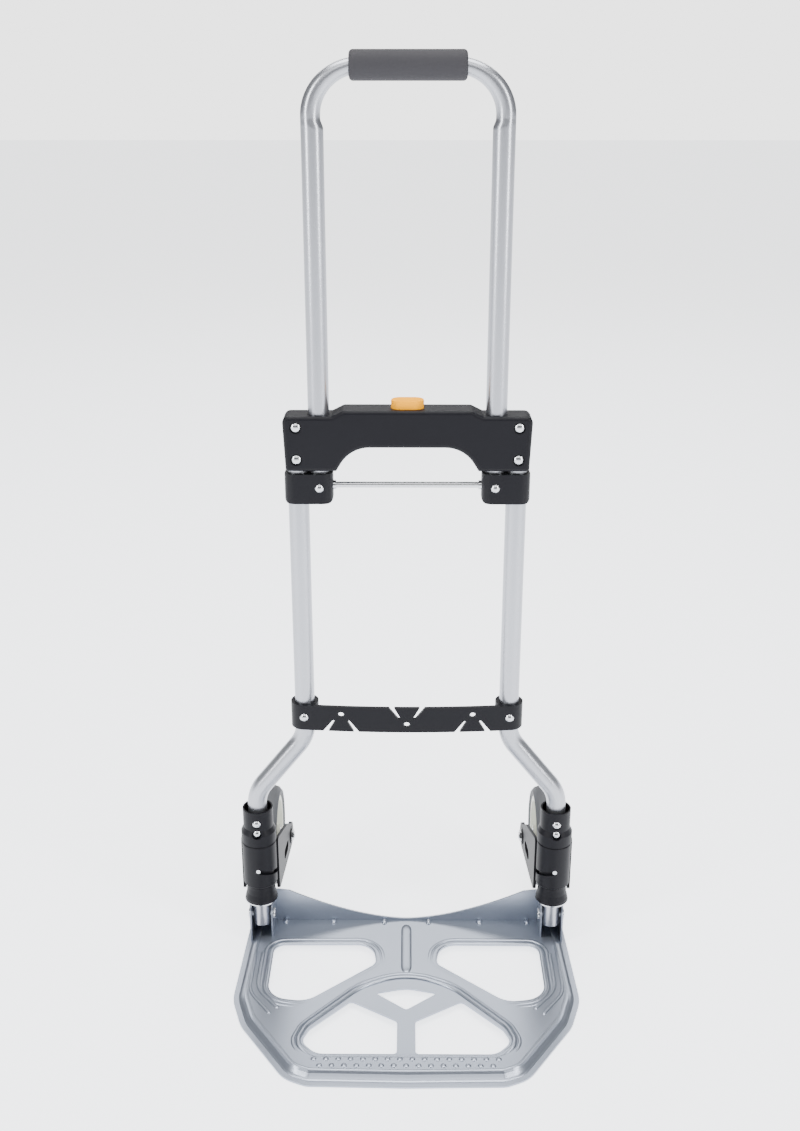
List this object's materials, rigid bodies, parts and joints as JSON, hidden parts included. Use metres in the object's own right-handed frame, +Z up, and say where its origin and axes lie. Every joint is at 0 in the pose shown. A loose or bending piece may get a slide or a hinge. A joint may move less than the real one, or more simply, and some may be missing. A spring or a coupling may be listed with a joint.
{
  "type": "hand truck",
  "caption": "Folding hand truck with a telescoping U handle, push-button crossbar, folding pressed toe plate and wheels on forks that swing flat as the plate folds.",
  "frame": {"origin": "on the floor, under the middle of the truck's outline", "axes": "+Z up along the upright tubes, -Y towards the front of the toe plate, +X to the right seen from the front"},
  "size_m": [0.4098, 0.4095, 0.998],
  "materials": {
    "tube_metal": "satin",
    "plate_metal": "satin",
    "black_plastic": "fine matte grain",
    "tyre_rubber": "matte",
    "rim_plastic": "satin",
    "grip_foam": "matte foam",
    "button_plastic": "satin",
    "bright_steel": "bright",
    "spring_steel": "oiled"
  },
  "bodies": {
    "frame": {"left_frame_tube": "tube_metal", "left_fixed_collar": "black_plastic", "left_fork_spring": "spring_steel", "right_frame_tube": "tube_metal", "right_fixed_collar": "black_plastic", "right_fork_spring": "spring_steel", "crossbar_front_shell": "black_plastic", "crossbar_rear_shell": "black_plastic", "crossbar_rivets": "bright_steel", "cord_strap": "black_plastic", "cord_strap_rivets": "bright_steel", "fixed_collar_rivets": "bright_steel", "sleeve_guide_pins": "bright_steel", "lock_spring": "spring_steel"},
    "handle": {"handle_tube": "tube_metal", "handle_grip": "grip_foam", "left_slide_collar": "black_plastic", "right_slide_collar": "black_plastic", "slide_collar_rivets": "bright_steel", "cross_rod": "bright_steel", "cross_rod_nuts": "bright_steel"},
    "release_button": {"release_button": "button_plastic"},
    "left_lock_bolt": {"left_lock_bolt": "bright_steel"},
    "right_lock_bolt": {"right_lock_bolt": "bright_steel"},
    "toe_plate": {"toe_plate": "plate_metal", "left_pivot_channel": "plate_metal", "left_pivot_pin": "bright_steel", "right_pivot_channel": "plate_metal", "right_pivot_pin": "bright_steel"},
    "left_cam": {"left_cam_sleeve": "black_plastic", "left_cam_washer": "bright_steel", "left_cam_pin": "bright_steel"},
    "left_fork": {"left_wheel_fork": "black_plastic", "left_axle_bolt": "bright_steel", "left_axle_nut": "bright_steel", "left_axle_spacers": "bright_steel"},
    "left_wheel": {"left_tyre": "tyre_rubber", "left_rim": "rim_plastic", "left_bearings": "bright_steel"},
    "right_cam": {"right_cam_sleeve": "black_plastic", "right_cam_washer": "bright_steel", "right_cam_pin": "bright_steel"},
    "right_fork": {"right_wheel_fork": "black_plastic", "right_axle_bolt": "bright_steel", "right_axle_nut": "bright_steel", "right_axle_spacers": "bright_steel"},
    "right_wheel": {"right_tyre": "tyre_rubber", "right_rim": "rim_plastic", "right_bearings": "bright_steel"}
  },
  "joints": [
    {"name": "handle_slide", "type": "slide", "parent": "frame", "child": "handle", "axis": [0, 0, -1], "range_m": [0, 0.23]},
    {"name": "button_press", "type": "slide", "parent": "frame", "child": "release_button", "axis": [0, 0, -1], "range_m": [0, 0.006], "stiffness_N_per_m": 600, "springref_m": -0.004},
    {"name": "left_bolt_slide", "type": "slide", "parent": "frame", "child": "left_lock_bolt", "axis": [1, 0, 0], "range_m": [0, 0.006], "deforming": ["lock_spring"]},
    {"name": "right_bolt_slide", "type": "slide", "parent": "frame", "child": "right_lock_bolt", "axis": [-1, 0, 0], "range_m": [0, 0.006]},
    {"name": "toe_fold", "type": "hinge", "parent": "frame", "child": "toe_plate", "pos_m": [0, 0.04525, 0.033], "axis": [-1, 0, 0], "range_deg": [0, 90]},
    {"name": "left_cam_slide", "type": "slide", "parent": "frame", "child": "left_cam", "axis": [0, 0, -1], "range_m": [0, 0.009], "deforming": ["left_fork_spring"]},
    {"name": "left_fork_turn", "type": "hinge", "parent": "frame", "child": "left_fork", "pos_m": [-0.174, 0.04525, 0.08], "axis": [0, 0, -1], "range_deg": [0, 90]},
    {"name": "left_wheel_spin", "type": "hinge", "parent": "left_fork", "child": "left_wheel", "pos_m": [-0.174, 0.14225, 0.08], "axis": [1, 0, 0], "continuous": true},
    {"name": "right_cam_slide", "type": "slide", "parent": "frame", "child": "right_cam", "axis": [0, 0, -1], "range_m": [0, 0.009], "deforming": ["right_fork_spring"]},
    {"name": "right_fork_turn", "type": "hinge", "parent": "frame", "child": "right_fork", "pos_m": [0.174, 0.04525, 0.08], "axis": [0, 0, 1], "range_deg": [0, 90]},
    {"name": "right_wheel_spin", "type": "hinge", "parent": "right_fork", "child": "right_wheel", "pos_m": [0.174, 0.14225, 0.08], "axis": [1, 0, 0], "continuous": true}
  ],
  "couplings": [
    {"joint": "left_bolt_slide", "follows": "button_press", "ratio": 1},
    {"joint": "right_bolt_slide", "follows": "button_press", "ratio": 1},
    {"joint": "left_cam_slide", "follows": "toe_fold", "m_per_rad": 0.0057296},
    {"joint": "left_fork_turn", "follows": "toe_fold", "ratio": 1},
    {"joint": "right_cam_slide", "follows": "toe_fold", "m_per_rad": 0.0057296},
    {"joint": "right_fork_turn", "follows": "toe_fold", "ratio": 1}
  ]
}
